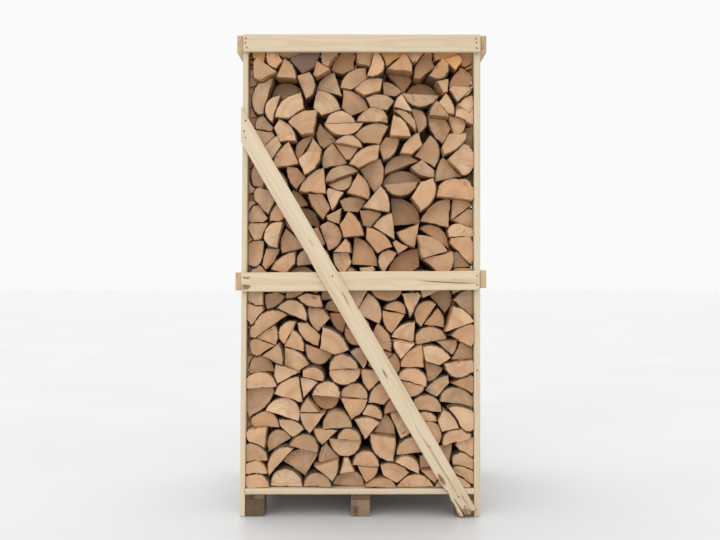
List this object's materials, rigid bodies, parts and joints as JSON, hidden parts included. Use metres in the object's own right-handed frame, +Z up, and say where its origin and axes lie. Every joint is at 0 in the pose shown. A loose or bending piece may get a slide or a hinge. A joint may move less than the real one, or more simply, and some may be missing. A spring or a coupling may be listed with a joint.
{
  "type": "firewood crate",
  "caption": "Tall open slatted softwood crate on a block pallet, filled to the top with stacked split firewood logs.",
  "frame": {"origin": "middle of the bounding box's footprint, on the floor", "axes": "+Z up, front with the visible log ends towards -Y, +X to the right when seen from the front"},
  "size_m": [1.0514, 1.0906, 2.0153],
  "materials": {
    "spruce_board": "rough-sawn pale spruce, dry, with knots and a little dirt",
    "weathered_block": "rough grey-brown pallet wood, matt",
    "split_log": "split and sawn hardwood with rings on its ends and thin dark bark",
    "nail_head": "dull dark steel"
  },
  "bodies": {
    "root": {"block_front_left": "weathered_block", "block_front_centre": "weathered_block", "block_front_right": "weathered_block", "block_middle_left": "weathered_block", "block_middle_centre": "weathered_block", "block_middle_right": "weathered_block", "block_back_left": "weathered_block", "block_back_centre": "weathered_block", "block_back_right": "weathered_block", "bearer_left": "weathered_block", "bearer_centre": "weathered_block", "bearer_right": "weathered_block", "deck_board_1": "spruce_board", "deck_board_2": "spruce_board", "deck_board_3": "spruce_board", "deck_board_4": "spruce_board", "deck_board_5": "spruce_board", "deck_board_6": "spruce_board", "upright_left_front": "spruce_board", "upright_left_middle": "spruce_board", "upright_left_back": "spruce_board", "side_rail_left_top": "spruce_board", "side_rail_left_mid": "spruce_board", "upright_right_front": "spruce_board", "upright_right_middle": "spruce_board", "upright_right_back": "spruce_board", "side_rail_right_top": "spruce_board", "side_rail_right_mid": "spruce_board", "rail_front_top": "spruce_board", "rail_front_mid": "spruce_board", "brace_front": "spruce_board", "rail_back_top": "spruce_board", "rail_back_mid": "spruce_board", "brace_back": "spruce_board", "log_row_1": "split_log", "log_row_2": "split_log", "log_row_3": "split_log", "log_row_4": "split_log"}
  },
  "joints": []
}
